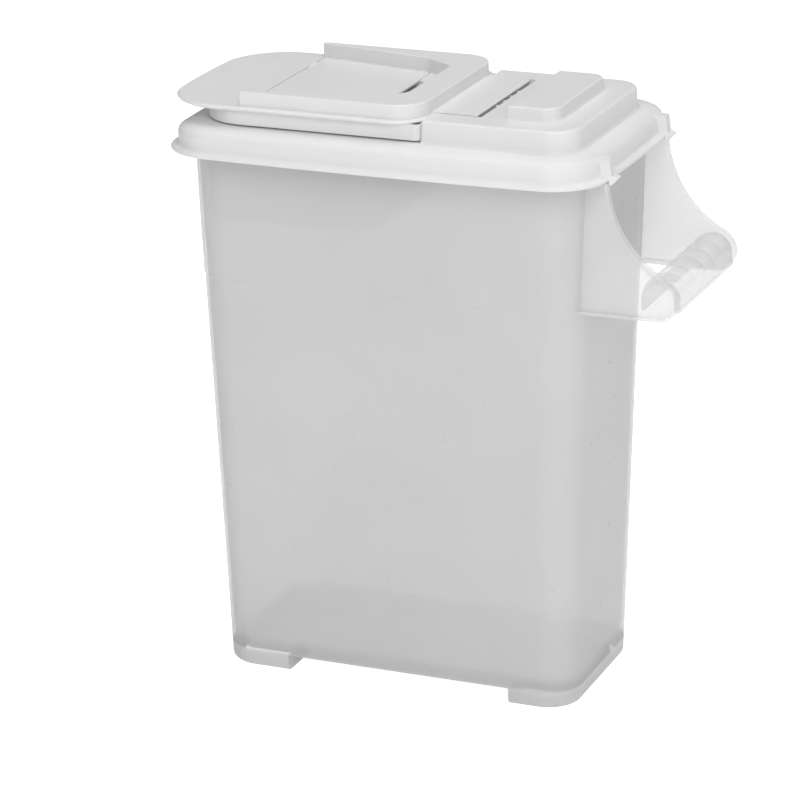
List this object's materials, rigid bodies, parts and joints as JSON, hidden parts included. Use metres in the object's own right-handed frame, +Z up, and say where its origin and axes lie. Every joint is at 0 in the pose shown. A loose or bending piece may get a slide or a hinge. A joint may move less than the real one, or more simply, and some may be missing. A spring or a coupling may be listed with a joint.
{
  "type": "pet food bin",
  "caption": "Tall tapered translucent storage bin with a side carrying grip and a white push-on lid that has a hinged pour door with a small inner flap.",
  "frame": {"origin": "middle of the overall bounding box, on the plane of the feet", "axes": "+Z up, +X towards the carrying grip, -Y towards the near long side; mirror symmetric about the XZ plane"},
  "size_m": [0.3682, 0.1968, 0.4191],
  "materials": {
    "translucent_polypropylene": "milky translucent, satin",
    "white_polypropylene": "white, satin, fine moulded grain"
  },
  "bodies": {
    "bin": {"bin_body": "translucent_polypropylene"},
    "lid": {"lid": "white_polypropylene", "pour_sleeve": "white_polypropylene"},
    "pour_door": {"pour_door": "white_polypropylene"},
    "pour_flap": {"pour_flap": "white_polypropylene"}
  },
  "joints": [
    {"name": "lid_lift", "type": "slide", "parent": "bin", "child": "lid", "axis": [0, 0, 1], "range_m": [0, 0.15]},
    {"name": "pour_door_hinge", "type": "hinge", "parent": "lid", "child": "pour_door", "pos_m": [0.03515, 0, 0.4053], "axis": [0, 1, 0], "range_deg": [0, 100]},
    {"name": "pour_flap_hinge", "type": "hinge", "parent": "pour_door", "child": "pour_flap", "pos_m": [-0.11945, 0, 0.41], "axis": [0, -1, 0], "range_deg": [0, 165]}
  ]
}
